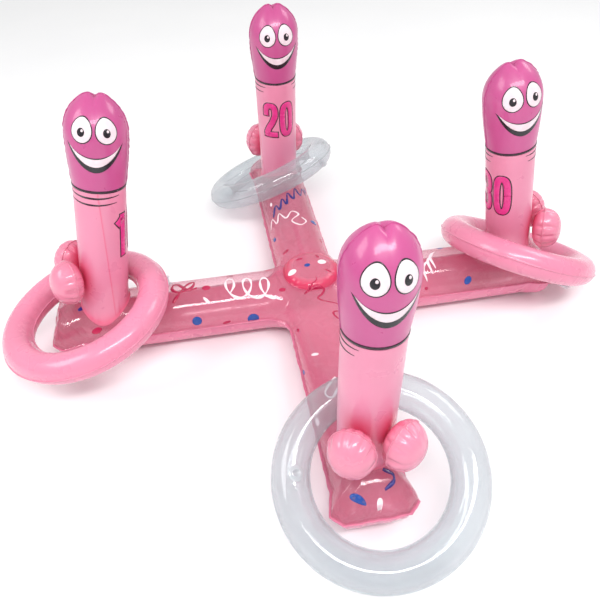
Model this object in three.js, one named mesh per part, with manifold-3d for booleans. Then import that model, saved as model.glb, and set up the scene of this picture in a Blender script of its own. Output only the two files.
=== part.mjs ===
// Inflatable ring toss set: a cross-shaped air-filled base with four domed posts and four toss rings.
// Millimetres, +Z up. The origin is on the floor under the middle of the cross, the arms run along X and Y,
// and the front arm points along -Y. Every sheet of vinyl is a thin shell of its own.
import * as THREE from 'three';
import { mergeVertices } from 'three/addons/utils/BufferGeometryUtils.js';
import Module from 'manifold-3d';

const wasm = await Module();
wasm.setup();

// ---- driving dimensions -------------------------------------------------------------------------------
const postDistance = 310;                       // cross middle to the axis of a post, at the arm's top
const wall = 0.6;                               // vinyl thickness
const weldGap = 0.3;                            // clear space between two welded pieces
const armRadius = 0.139 * postDistance;         // an arm is a tube lying on the floor
const armTop = 2 * armRadius;
const footLength = 0.223 * postDistance;        // arm beyond the post's axis
const filletRadius = 35;                        // inside corners of the cross, seen from above
const shaftFootRadius = 0.1035 * postDistance;
const collarRadius = 0.1067 * postDistance;
const headRadius = 0.122 * postDistance;
const collarHeight = 0.581 * postDistance;      // up the post's own axis, from the arm's top
const postHeight = 0.942 * postDistance;        // up the post's own axis, from the arm's top
const ringTubeRadius = 0.0671 * postDistance;
const ringRadius = 0.3206 * postDistance;       // middle of the ring to the middle of its tube

const vinyl = { roughness: 0.22, metalness: 0 };
const colours = {
  shaft: 0xf591b4,
  head: 0xe4469a,
  lobe: 0xf07aa3,
  base: 0xf2a0bd,
  film: 0xe7dfe4,
  pinkRing: 0xf396b6,
  clearRing: 0xdfe3e6,
  valve: 0xe9edf0,
};

// ---- building helpers ---------------------------------------------------------------------------------
const set = new THREE.Group();
const up = new THREE.Vector3(0, 0, 1);

/** Turns a closed geometry into a manifold solid. */
function solidOf(geometry) {
  const bare = geometry.clone();
  bare.deleteAttribute('normal');
  bare.deleteAttribute('uv');
  const merged = mergeVertices(bare, 1e-4);
  const mesh = new wasm.Mesh({
    numProp: 3,
    vertProperties: new Float32Array(merged.attributes.position.array),
    triVerts: new Uint32Array(merged.index.array),
  });
  return new wasm.Manifold(mesh);
}

/** Turns a manifold solid back into a geometry. */
function geometryOf(solid) {
  const mesh = solid.getMesh();
  const geometry = new THREE.BufferGeometry();
  geometry.setAttribute('position', new THREE.BufferAttribute(new Float32Array(mesh.vertProperties), 3));
  geometry.setIndex(new THREE.BufferAttribute(new Uint32Array(mesh.triVerts), 1));
  geometry.computeVertexNormals();
  return geometry;
}

/** Cuts one geometry out of another. */
function cut(geometry, cutter) {
  return geometryOf(solidOf(geometry).subtract(solidOf(cutter)));
}

/** A lathe about +Z from [radius, height] pairs that run up the outside and down the inside. */
function lathe(profile, segments) {
  const points = profile.map(([radius, height]) => new THREE.Vector2(radius, height));
  return new THREE.LatheGeometry(points, segments).rotateX(Math.PI / 2);
}

/** Points of an elliptical arc in the [radius, height] plane, with its angles in degrees. */
function arc(centre, halfWidth, halfHeight, fromAngle, toAngle, steps) {
  return Array.from({ length: steps + 1 }, (_, step) => {
    const angle = THREE.MathUtils.degToRad(THREE.MathUtils.lerp(fromAngle, toAngle, step / steps));
    return [centre[0] + halfWidth * Math.cos(angle), centre[1] + halfHeight * Math.sin(angle)];
  });
}

/** Adds one named piece to a group. */
function addPiece(group, name, geometry, colour, finish = vinyl) {
  const mesh = new THREE.Mesh(geometry, new THREE.MeshStandardMaterial({ color: colour, ...finish }));
  mesh.name = name;
  group.add(mesh);
}

// ---- base: two sheets welded round the edge of a cross ------------------------------------------------
const seamHeight = armRadius;
const flangeWidth = 3;                          // flat welded rim round the base
const filletCentre = armRadius + filletRadius;
const endReach = postDistance + footLength;
const ridgeEnd = endReach - armRadius;          // where the pillow of the foot starts
const footFlare = 7;                            // how far the end corners stand out from the arm's side
const cornerCut = 13;                           // chamfer of the end corners
const floorContactAngle = 75;                   // the bottom sheet lies flat above this angle of its curve
const filletSteps = 3;                          // ribs round half of an inside corner
const straightRibPlaces = [0.4, 0.8];           // shares of the way from the inside corner to the foot
const topRibAngles = [22, 45, 67, 90];          // degrees round the arm, from the seam to the ridge
const bottomRibAngles = [25, 50, floorContactAngle, 90];

/** Ribs of half an arm that points along +X: where each leaves the ridge and where it meets the seam. */
function halfArmRibs() {
  const fillet = Array.from({ length: filletSteps + 1 }, (_, step) => {
    const angle = (Math.PI / 4) * (1 - step / filletSteps);
    return {
      ridge: [filletCentre * (1 - Math.tan(angle)), 0],
      edge: [filletCentre - filletRadius * Math.sin(angle), filletCentre - filletRadius * Math.cos(angle)],
    };
  });
  const straight = straightRibPlaces.map((along) => {
    const place = THREE.MathUtils.lerp(filletCentre, ridgeEnd, along);
    return { ridge: [place, 0], edge: [place, armRadius] };
  });
  const footEdges = [
    [ridgeEnd, armRadius],
    [endReach - cornerCut, armRadius + footFlare],
    [endReach, armRadius + footFlare - cornerCut],
    [endReach, armRadius / 2],
  ];
  const foot = footEdges.map((edge) => ({ ridge: [ridgeEnd, 0], edge }));
  return [...fillet, ...straight, ...foot];
}

/** Ribs right round the cross, anticlockwise from above, each with its outward direction. */
function crossRibs() {
  const half = halfArmRibs();
  const farSide = half.slice(1).map(({ ridge, edge }) => ({ ridge, edge: [edge[0], -edge[1]] }));
  const tip = { ridge: [ridgeEnd, 0], edge: [endReach, 0] };
  const arm = [...farSide, tip, ...half.reverse()];
  const turned = ([x, y], angle) => new THREE.Vector2(x, y).rotateAround(new THREE.Vector2(), angle);
  return [0, 1, 2, 3].flatMap((turn) => arm.map(({ ridge, edge }) => {
    const inner = turned(ridge, (turn * Math.PI) / 2);
    const outer = turned(edge, (turn * Math.PI) / 2);
    return { ridge: inner, edge: outer, outward: outer.clone().sub(inner).normalize() };
  }));
}

/** The heights and places of one rib's points, from the welded rim to the ridge. */
function ribPoints(rib, angles, thickness, rise, inset) {
  const edge = rib.edge.clone().addScaledVector(rib.outward, -inset);
  const rim = rib.edge.clone().addScaledVector(rib.outward, flangeWidth);
  const curve = angles.map((degrees) => {
    const angle = THREE.MathUtils.degToRad(degrees);
    const place = rib.ridge.clone().lerp(edge, Math.cos(angle));
    return new THREE.Vector3(place.x, place.y, rise * Math.sin(angle));
  });
  return [
    new THREE.Vector3(rim.x, rim.y, thickness),
    new THREE.Vector3(edge.x, edge.y, thickness),
    ...curve,
  ];
}

/** Joins an outer and an inner surface, both given as a ring of ribs, into one closed sheet. */
function closedSheet(outerRibs, innerRibs) {
  const positions = [];
  const triangle = (a, b, c) => {
    const flat = a.distanceTo(b) < 1e-3 || b.distanceTo(c) < 1e-3 || c.distanceTo(a) < 1e-3;
    if (!flat) positions.push(...a.toArray(), ...b.toArray(), ...c.toArray());
  };
  const quad = (a, b, c, d) => {
    triangle(a, b, c);
    triangle(a, c, d);
  };
  outerRibs.forEach((outer, index) => {
    const next = (index + 1) % outerRibs.length;
    const inner = innerRibs[index];
    for (let row = 0; row + 1 < outer.length; row += 1) {
      quad(outer[row], outerRibs[next][row], outerRibs[next][row + 1], outer[row + 1]);
      quad(inner[row + 1], innerRibs[next][row + 1], innerRibs[next][row], inner[row]);
    }
    quad(inner[0], innerRibs[next][0], outerRibs[next][0], outer[0]);
  });
  const geometry = new THREE.BufferGeometry();
  geometry.setAttribute('position', new THREE.Float32BufferAttribute(positions, 3));
  return mergeVertices(geometry, 1e-4);
}

/** One half of the base as a sheet that swells up from z = 0, to be turned over for the underside. */
function baseSheet(angles, rise, ceiling) {
  const ribs = crossRibs();
  const limit = (points, top) => points.map((point) => point.setZ(Math.min(point.z, top)));
  const outer = ribs.map((rib) => limit(ribPoints(rib, angles, wall, rise, 0), ceiling));
  const inner = ribs.map((rib) => limit(ribPoints(rib, angles, 0, rise - wall, wall), ceiling - wall));
  const sheet = closedSheet(outer, inner);
  sheet.computeVertexNormals();
  return sheet;
}

const sheetRise = armRadius - weldGap / 2;
const topSheet = baseSheet(topRibAngles, sheetRise, armTop).translate(0, 0, seamHeight + weldGap / 2);
const floorRise = sheetRise / Math.sin(THREE.MathUtils.degToRad(floorContactAngle));
const bottomSheet = baseSheet(bottomRibAngles, floorRise, sheetRise)
  .rotateX(Math.PI)
  .translate(0, 0, seamHeight - weldGap / 2);

// ---- valves: a welded boot, a stem that pushes in and a plug -----------------------------------------------
const valve = {
  bootRadius: 9,                                // welded disc on the skin
  bootHeight: 0.8,
  holeRadius: 5.4,                              // through the boot and the skin
  stemRadius: 5,
  boreRadius: 3.2,
  stemLength: 14,
  pinLength: 5,                                 // plug's pin inside the bore
  capRadius: 6,
  capHeight: 1.2,
  drillLength: 12,                              // longer than the skin is thick, either way
};
const valveSegments = 10;

/** The three pieces of one valve about +Z, on a skin whose surface is at z = 0. */
function addValve(group, name, place, direction, standing) {
  const frame = new THREE.Group();
  frame.position.copy(place);
  frame.quaternion.setFromUnitVectors(up, direction);
  group.add(frame);
  const bootTop = weldGap + valve.bootHeight;
  const boot = lathe([
    [valve.holeRadius, weldGap], [valve.bootRadius, weldGap], [valve.bootRadius, bootTop],
    [valve.holeRadius, bootTop], [valve.holeRadius, weldGap],
  ], valveSegments);
  const stemTop = bootTop + standing;
  const stemBottom = stemTop - valve.stemLength;
  const stem = lathe([
    [valve.boreRadius, stemBottom], [valve.stemRadius, stemBottom],
    [valve.stemRadius, stemTop], [valve.boreRadius, stemTop], [valve.boreRadius, stemBottom],
  ], valveSegments);
  const capBottom = stemTop + weldGap;
  const pinRadius = valve.boreRadius - weldGap;
  const plug = lathe([
    [0, capBottom - valve.pinLength], [pinRadius, capBottom - valve.pinLength], [pinRadius, capBottom],
    [valve.capRadius, capBottom], [valve.capRadius, capBottom + valve.capHeight],
    [0, capBottom + valve.capHeight],
  ], valveSegments);
  addPiece(frame, `${name}_valve_boot`, boot, colours.valve);
  addPiece(frame, `${name}_valve_stem`, stem, colours.valve);
  addPiece(frame, `${name}_valve_plug`, plug, colours.valve);
}

/** A rod that cuts a valve's hole through the skin. */
function valveDrill(place, direction) {
  const rod = new THREE.CylinderGeometry(valve.holeRadius, valve.holeRadius, valve.drillLength, 12);
  rod.rotateX(Math.PI / 2);
  rod.applyQuaternion(new THREE.Quaternion().setFromUnitVectors(up, direction));
  return rod.translate(place.x, place.y, place.z);
}

const baseValveReach = 0.69 * postDistance;     // along the left arm
const baseValveAngle = THREE.MathUtils.degToRad(25);       // round the left arm, towards the back
const baseValveDirection = new THREE.Vector3(0, Math.sin(baseValveAngle), Math.cos(baseValveAngle));
const baseValvePlace = new THREE.Vector3(-baseValveReach, 0, armRadius)
  .addScaledVector(baseValveDirection, armRadius);
const standingStem = 9;                         // how far the base's stem stands out of its boot
const pushedStem = 0.4;                         // the rings' stems are pushed in

addPiece(set, 'base_bottom_sheet', bottomSheet, colours.base);
addPiece(set, 'base_top_sheet', cut(topSheet, valveDrill(baseValvePlace, baseValveDirection)), colours.film);
addValve(set, 'base', baseValvePlace, baseValveDirection, standingStem);

const domeRadius = 40;                          // round window welded on the middle of the cross
const domeRise = 13;
const domeSegments = 20;
const domeFoot = armTop + weldGap;
const centreDome = lathe([
  ...arc([0, domeFoot], domeRadius, domeRise, 0, 90, 4),
  ...arc([0, domeFoot], domeRadius - wall, domeRise - wall, 90, 0, 4),
  [domeRadius, domeFoot],
], domeSegments);
addPiece(set, 'centre_dome', centreDome, colours.film);

// ---- posts: a shaft, a two-sheet head and two round lobes -----------------------------------------------
const shaftSegments = 18;
const shaftDepth = 34;                          // how far the uncut shaft runs down into the arm
const armSegments = 64;                         // of the cylinder that cuts a shaft's foot to the arm
const domeHeight = 46;                          // rounded top of the head, above its widest place
const swellPlaces = [0.5, 0.8];                 // shares of the way from the collar to the widest place

/** The shaft before its foot is cut to the arm. */
function shaftTube() {
  const top = collarHeight - weldGap / 2;
  return lathe([
    [shaftFootRadius, -shaftDepth], [collarRadius, top],
    [collarRadius - wall, top], [shaftFootRadius - wall, -shaftDepth], [shaftFootRadius, -shaftDepth],
  ], shaftSegments);
}

/** One half of the head: side -1 is the front sheet and side 1 the back sheet. */
function headSheet(side) {
  const bottom = collarHeight + weldGap / 2;
  const shoulder = postHeight - domeHeight;
  const swell = swellPlaces.map((along) => [
    THREE.MathUtils.lerp(collarRadius, headRadius, Math.sin((along * Math.PI) / 2)),
    THREE.MathUtils.lerp(bottom, shoulder, along),
  ]);
  const inward = ([radius, height]) => [radius - wall, height];
  const shell = lathe([
    [collarRadius, bottom],
    ...swell,
    ...arc([0, shoulder], headRadius, domeHeight, 0, 90, 4),
    ...arc([0, shoulder], headRadius - wall, domeHeight - wall, 90, 0, 4),
    ...swell.map(inward).reverse(),
    [collarRadius - wall, bottom],
    [collarRadius, bottom],
  ], shaftSegments);
  const cutterSize = 2 * postHeight;
  const cutter = new THREE.BoxGeometry(cutterSize, cutterSize, 2 * cutterSize);
  return cut(shell, cutter.translate(0, side * (weldGap / 2 - cutterSize / 2), 0));
}

const lobe = {
  halfWidth: 26,
  halfHeight: 31,
  outerDepth: 24,
  innerDepth: 16,
  reach: 51,                                    // from the post's axis to the middle of the weld
  spread: 32,                                   // degrees to each side of outward
  segments: 12,
};

/** One round sheet of a lobe, swelling along +Z from its weld. */
function lobeSheet(depth) {
  const dish = lathe([
    [1 - wall / lobe.halfHeight, weldGap / 2],
    ...arc([0, weldGap / 2], 1, depth, 0, 90, 3),
    ...arc([0, weldGap / 2], 1 - wall / lobe.halfHeight, depth - wall, 90, 0, 3),
  ], lobe.segments);
  return dish.scale(lobe.halfWidth, lobe.halfHeight, 1);
}

/**
 * One post: the direction and distance of its foot, how far its top leans for each mm of height, and how high
 * its lobes sit up the axis from the arm's top.
 */
function addPost(name, outward, distance, leanX, leanY, lobeHeight) {
  const post = new THREE.Group();
  post.position.set(outward.x * distance, outward.y * distance, armTop);
  post.quaternion.setFromUnitVectors(up, new THREE.Vector3(leanX, leanY, 1).normalize());
  post.updateMatrix();
  set.add(post);

  const arm = new THREE.CylinderGeometry(armRadius + weldGap, armRadius + weldGap, 2 * endReach, armSegments);
  if (outward.x !== 0) arm.rotateZ(Math.PI / 2);
  arm.translate(0, 0, armRadius).applyMatrix4(post.matrix.clone().invert());
  addPiece(post, `${name}_shaft`, cut(shaftTube(), arm), colours.shaft);
  addPiece(post, `${name}_head_front_sheet`, headSheet(-1), colours.head);
  addPiece(post, `${name}_head_back_sheet`, headSheet(1), colours.head);

  [['left', -1], ['right', 1]].forEach(([side, turn]) => {
    const azimuth = Math.atan2(outward.y, outward.x) + turn * THREE.MathUtils.degToRad(lobe.spread);
    const pouch = new THREE.Group();
    pouch.position.set(lobe.reach * Math.cos(azimuth), lobe.reach * Math.sin(azimuth), lobeHeight);
    pouch.rotation.set(Math.PI / 2, azimuth + Math.PI / 2, 0, 'ZXY');
    post.add(pouch);
    addPiece(pouch, `${name}_${side}_lobe_outer_sheet`, lobeSheet(lobe.outerDepth), colours.lobe);
    const innerSheet = lobeSheet(lobe.innerDepth).rotateY(Math.PI);
    addPiece(pouch, `${name}_${side}_lobe_inner_sheet`, innerSheet, colours.lobe);
  });
}

addPost('left_post', new THREE.Vector2(-1, 0), 0.968 * postDistance, 0.17, 0.12, 44);
addPost('right_post', new THREE.Vector2(1, 0), postDistance, -0.176, 0.04, 39);
addPost('back_post', new THREE.Vector2(0, 1), postDistance, -0.01, -0.09, 31);
addPost('front_post', new THREE.Vector2(0, -1), postDistance, 0.017, 0.061, 48);

// ---- rings: an upper and a lower sheet, and a valve in one of them ----------------------------------------
const ringSegments = 20;

/** The upper half of a ring's tube; turned over, it is the lower half. */
function ringSheet() {
  const inside = ringTubeRadius - wall;
  return lathe([
    ...arc([ringRadius, weldGap / 2], ringTubeRadius, ringTubeRadius - weldGap / 2, 0, 180, 4),
    ...arc([ringRadius, weldGap / 2], inside, inside - weldGap / 2, 180, 0, 4),
    [ringRadius + ringTubeRadius, weldGap / 2],
  ], ringSegments);
}

/**
 * One ring: where its middle rests, which way it faces, and its valve's place: the angle round the ring and
 * the angle round the tube, both in degrees, with positive tube angles on the upper sheet.
 */
function addRing(name, middle, facing, colour, valveRound, valveTube) {
  const ring = new THREE.Group();
  ring.position.set(...middle);
  ring.quaternion.setFromUnitVectors(up, new THREE.Vector3(...facing).normalize());
  set.add(ring);
  const round = THREE.MathUtils.degToRad(valveRound);
  const tube = THREE.MathUtils.degToRad(valveTube);
  const radial = new THREE.Vector3(Math.cos(round), Math.sin(round), 0);
  const direction = radial.clone().multiplyScalar(Math.cos(tube)).addScaledVector(up, Math.sin(tube));
  const place = radial.multiplyScalar(ringRadius).addScaledVector(direction, ringTubeRadius + weldGap);
  const drill = valveDrill(place, direction);
  const upper = ringSheet();
  const lower = ringSheet().rotateX(Math.PI);
  addPiece(ring, `${name}_upper_sheet`, valveTube > 0 ? cut(upper, drill) : upper, colour);
  addPiece(ring, `${name}_lower_sheet`, valveTube > 0 ? lower : cut(lower, drill), colour);
  addValve(ring, name, place, direction, pushedStem);
}

addRing('left_ring', [-325.3, -26.6, 87.3], [-0.239, 0.02, 1], colours.pinkRing, 180, -90);
addRing('right_ring', [328.7, 3, 75.5], [0.392, 0.391, 1], colours.pinkRing, 290, -90);
addRing('back_ring', [-15.9, 316.2, 71.4], [-0.367, 0.371, 1], colours.clearRing, -20, -90);
addRing('front_ring', [9.5, -343.3, 72.5], [-0.163, -0.427, 1], colours.clearRing, 168, 112);

export default set;
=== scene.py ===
"""Looks of an inflatable ring toss set: a cross-shaped base, four domed posts and four toss rings.

Metres, +Z up, in the same frame as the CAD: the origin is on the floor under the middle of the cross, the arms
run along X and Y, and the front arm points along -Y. Each welded sheet of vinyl is one thin closed mesh that
stands for its CAD node. Prints are thin films laid on the skin. Angles round a post start at -Y and grow
towards +X.
"""
import math

import bmesh
import bpy
import numpy as np
from mathutils import Matrix, Vector, noise
from mathutils.bvhtree import BVHTree


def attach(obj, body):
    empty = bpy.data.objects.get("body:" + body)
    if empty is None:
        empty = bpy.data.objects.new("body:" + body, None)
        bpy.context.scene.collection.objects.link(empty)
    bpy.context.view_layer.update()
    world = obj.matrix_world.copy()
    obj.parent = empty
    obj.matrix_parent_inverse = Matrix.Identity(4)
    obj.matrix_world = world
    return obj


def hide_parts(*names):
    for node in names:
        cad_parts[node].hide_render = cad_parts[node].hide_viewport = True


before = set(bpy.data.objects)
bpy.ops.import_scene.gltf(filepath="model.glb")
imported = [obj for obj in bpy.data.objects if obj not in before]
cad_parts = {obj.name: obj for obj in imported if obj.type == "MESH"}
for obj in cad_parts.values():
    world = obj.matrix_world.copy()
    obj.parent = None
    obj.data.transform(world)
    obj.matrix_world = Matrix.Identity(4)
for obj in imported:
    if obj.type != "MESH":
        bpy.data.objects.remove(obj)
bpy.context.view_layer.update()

# ---- driving dimensions -------------------------------------------------------------------------------
MM = 0.001
POST_DISTANCE = 0.310
WALL = 0.6 * MM
WELD_GAP = 0.3 * MM
ARM_RADIUS = 0.139 * POST_DISTANCE
ARM_TOP = 2 * ARM_RADIUS
FOOT_LENGTH = 0.223 * POST_DISTANCE
FILLET_RADIUS = 35 * MM
SHAFT_FOOT_RADIUS = 0.1035 * POST_DISTANCE
COLLAR_RADIUS = 0.1067 * POST_DISTANCE
HEAD_RADIUS = 0.122 * POST_DISTANCE
COLLAR_HEIGHT = 0.581 * POST_DISTANCE
POST_HEIGHT = 0.942 * POST_DISTANCE
DOME_HEIGHT = 46 * MM
RING_TUBE = 0.0671 * POST_DISTANCE
RING_RADIUS = 0.3206 * POST_DISTANCE

# Each post: outward direction, distance of its foot, lean per metre of height, height of its lobes, its
# number and the angle that the number faces.
POSTS = {
    "left_post": ((-1, 0), 0.968 * POST_DISTANCE, (0.17, 0.12), 44 * MM, "10", 78),
    "right_post": ((1, 0), POST_DISTANCE, (-0.176, 0.04), 39 * MM, "30", -67),
    "back_post": ((0, 1), POST_DISTANCE, (-0.01, -0.09), 31 * MM, "20", -2),
    "front_post": ((0, -1), POST_DISTANCE, (0.017, 0.061), 48 * MM, "40", 180),
}

# name: (middle in mm, facing, slot, valve's angle round the ring, valve's angle round the tube)
RINGS = {
    "left_ring": ((-325.3, -26.6, 87.3), (-0.239, 0.02, 1), "pink_ring_vinyl", 180, -90),
    "right_ring": ((328.7, 3, 75.5), (0.392, 0.391, 1), "pink_ring_vinyl", 290, -90),
    "back_ring": ((-15.9, 316.2, 71.4), (-0.367, 0.371, 1), "clear_ring_vinyl", -20, -90),
    "front_ring": ((9.5, -343.3, 72.5), (-0.163, -0.427, 1), "clear_ring_vinyl", 168, 112),
}
BASE_BODY = "base_and_posts"


# ---- small helpers --------------------------------------------------------------------------------------
def lerp(a, b, share):
    return a + (b - a) * share


def smooth(low, high, value):
    """0 below low, 1 above high, and a smooth step between."""
    share = min(max((value - low) / (high - low), 0.0), 1.0)
    return share * share * (3 - 2 * share)


def bump_of(distance, width):
    """A bell-shaped weight that is 1 at no distance."""
    return math.exp(-((distance / width) ** 2))


def waves(place, seed):
    """Smooth noise from -1 to 1 at a place along a line."""
    return noise.noise(Vector((place, seed * 7.31, seed * 3.17))) * 1.6


def pleats(place, pitch, seed):
    """From 0 to 1: irregular creases a pitch apart, sharp at the bottom and round between them."""
    phase = place / pitch + 0.35 * waves(place / pitch * 0.7, seed)
    crease = (0.5 + 0.5 * math.cos(2 * math.pi * phase)) ** 3
    strength = 0.55 + 0.45 * waves(math.floor(phase + 0.5) * 1.37, seed + 11)
    return crease * max(strength, 0.0)


def turn_to(direction):
    """The shortest turn that takes +Z to a direction."""
    return Vector((0, 0, 1)).rotation_difference(Vector(direction).normalized()).to_matrix().to_4x4()


def linear(red, green, blue):
    """A colour given from 0 to 255 as seen on a screen, as the renderer's own numbers."""
    def channel(value):
        value /= 255
        return value / 12.92 if value <= 0.04045 else ((value + 0.055) / 1.055) ** 2.4
    return (channel(red), channel(green), channel(blue), 1.0)


# ---- materials --------------------------------------------------------------------------------------------
class Nodes:
    """A short way to build one node material."""

    def __init__(self, name):
        self.material = bpy.data.materials.new(name)
        self.material.use_nodes = True
        self.tree = self.material.node_tree
        self.tree.nodes.clear()
        self.output = self.add("ShaderNodeOutputMaterial")
        self.place = self.add("ShaderNodeTexCoord").outputs["Object"]

    def add(self, kind, **values):
        node = self.tree.nodes.new(kind)
        for key, value in values.items():
            setattr(node, key, value)
        return node

    def link(self, source, target):
        self.tree.links.new(source, target)

    def noise(self, scale, detail=2.0, roughness=0.5):
        node = self.add("ShaderNodeTexNoise")
        node.inputs["Scale"].default_value = scale
        node.inputs["Detail"].default_value = detail
        node.inputs["Roughness"].default_value = roughness
        self.link(self.place, node.inputs["Vector"])
        return node.outputs["Fac"]

    def range(self, value, low, high, to_low, to_high):
        node = self.add("ShaderNodeMapRange")
        for key, number in zip(("From Min", "From Max", "To Min", "To Max"), (low, high, to_low, to_high)):
            node.inputs[key].default_value = number
        self.link(value, node.inputs["Value"])
        return node.outputs["Result"]

    def mix(self, factor, first, second):
        """A colour between two others, each a socket or a plain colour."""
        node = self.add("ShaderNodeMix", data_type="RGBA")
        self.link(factor, node.inputs["Factor"])
        for socket, colour in ((node.inputs[6], first), (node.inputs[7], second)):
            if isinstance(colour, tuple):
                socket.default_value = colour
            else:
                self.link(colour, socket)
        return node.outputs[2]

    def math(self, operation, first, second):
        node = self.add("ShaderNodeMath", operation=operation, use_clamp=True)
        for socket, value in zip(node.inputs, (first, second)):
            if isinstance(value, (int, float)):
                socket.default_value = value
            else:
                self.link(value, socket)
        return node.outputs[0]

    def attribute(self, name):
        return self.add("ShaderNodeAttribute", attribute_name=name).outputs["Fac"]

    def bump(self, height, strength, distance):
        node = self.add("ShaderNodeBump")
        node.inputs["Strength"].default_value = strength
        node.inputs["Distance"].default_value = distance
        self.link(height, node.inputs["Height"])
        return node.outputs["Normal"]

    def principled(self, colour, roughness, **plain):
        node = self.add("ShaderNodeBsdfPrincipled")
        if isinstance(colour, tuple):
            node.inputs["Base Color"].default_value = colour
        else:
            self.link(colour, node.inputs["Base Color"])
        if isinstance(roughness, (int, float)):
            node.inputs["Roughness"].default_value = roughness
        else:
            self.link(roughness, node.inputs["Roughness"])
        for key, value in plain.items():
            node.inputs[key.replace("_", " ")].default_value = value
        return node

    def mix_shaders(self, factor, first, second):
        node = self.add("ShaderNodeMixShader")
        if isinstance(factor, (int, float)):
            node.inputs["Fac"].default_value = factor
        else:
            self.link(factor, node.inputs["Fac"])
        self.link(first, node.inputs[1])
        self.link(second, node.inputs[2])
        return node.outputs[0]

    def finish(self, shader):
        self.link(shader, self.output.inputs["Surface"])
        return self.material


def vinyl(name, colour, shade_colour, gloss):
    """Soft coloured PVC: slow changes of tint, painted shade that deepens the tint in the crevices and faint orange
    peel.
    """
    nodes = Nodes(name)
    paler = tuple(min(1.0, channel * 1.06 + 0.012) for channel in colour[:3]) + (1.0,)
    tint = nodes.mix(nodes.range(nodes.noise(9.0), 0.35, 0.65, 0.0, 1.0), colour, paler)
    # painted shade: the tint deepens to the shade colour in the marked crevices
    tint = nodes.mix(nodes.attribute("crevice_shade"), tint, shade_colour)
    rough = nodes.range(nodes.noise(38.0, 4.0), 0.3, 0.7, gloss * 0.8, gloss * 1.25)
    shader = nodes.principled(
        tint, rough, IOR=1.5, Coat_Weight=0.35, Coat_Roughness=0.08,
        Subsurface_Weight=0.08, Subsurface_Radius=(0.006, 0.002, 0.003), Subsurface_Scale=0.6,
    )
    grain = nodes.math("ADD", nodes.math("MULTIPLY", nodes.noise(900.0, 2.0), 0.25), nodes.noise(55.0, 2.0))
    nodes.link(nodes.bump(grain, 0.18, 0.0006), shader.inputs["Normal"])
    return nodes.finish(shader.outputs[0])


def clear_vinyl(name, tint, haze_colour, haze, edge_haze, gloss, shade_colour=None):
    """Clear PVC: light passes with a faint tint, and more haze shows where the film is seen edge-on."""
    nodes = Nodes(name)
    weight = nodes.add("ShaderNodeLayerWeight")
    weight.inputs["Blend"].default_value = 0.5
    facing = weight.outputs["Facing"]
    cloud = nodes.range(nodes.noise(16.0, 3.0), 0.3, 0.7, haze * 0.75, haze * 1.25)
    cover = nodes.math("ADD", cloud, nodes.math("MULTIPLY", nodes.math("POWER", facing, 2.5), edge_haze))
    rough = nodes.range(nodes.noise(40.0, 4.0), 0.3, 0.7, gloss * 0.7, gloss * 1.4)
    colour = haze_colour
    # painted shade: a deeper and more opaque film where painted shade is marked, on the dome towards its rim
    if shade_colour:
        colour = nodes.mix(nodes.attribute("crevice_shade"), haze_colour, shade_colour)
        cover = nodes.math("ADD", cover, nodes.math("MULTIPLY", nodes.attribute("crevice_shade"), 0.6))
    body = nodes.principled(colour, rough, IOR=1.5, Coat_Weight=0.6, Coat_Roughness=0.04)
    ripple = nodes.math("ADD", nodes.math("MULTIPLY", nodes.noise(600.0), 0.15), nodes.noise(48.0, 3.0))
    normal = nodes.bump(ripple, 0.25, 0.0008)
    nodes.link(normal, body.inputs["Normal"])
    glow = nodes.add("ShaderNodeBsdfTranslucent")
    glow.inputs["Color"].default_value = haze_colour
    milky = nodes.mix_shaders(0.5, body.outputs[0], glow.outputs[0])
    through = nodes.add("ShaderNodeBsdfTransparent")
    through.inputs["Color"].default_value = tint
    shine = nodes.add("ShaderNodeBsdfGlossy")
    shine.inputs["Roughness"].default_value = gloss
    nodes.link(normal, shine.inputs["Normal"])
    mirror = nodes.math("ADD", nodes.math("MULTIPLY", nodes.math("POWER", facing, 5), 0.5), 0.035)
    film = nodes.mix_shaders(mirror, through.outputs[0], shine.outputs[0])
    return nodes.finish(nodes.mix_shaders(cover, film, milky))


def ink(name, colour, gloss=0.25):
    """Printed ink: nearly even, with a slight mottle."""
    nodes = Nodes(name)
    lighter = tuple(min(1.0, channel * 1.1 + 0.01) for channel in colour[:3]) + (1.0,)
    tint = nodes.mix(nodes.range(nodes.noise(120.0, 3.0), 0.35, 0.65, 0.0, 1.0), colour, lighter)
    rough = nodes.range(nodes.noise(60.0, 2.0), 0.3, 0.7, gloss * 0.8, gloss * 1.2)
    return nodes.finish(nodes.principled(tint, rough, IOR=1.5, Coat_Weight=0.12, Coat_Roughness=0.1).outputs[0])


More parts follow.
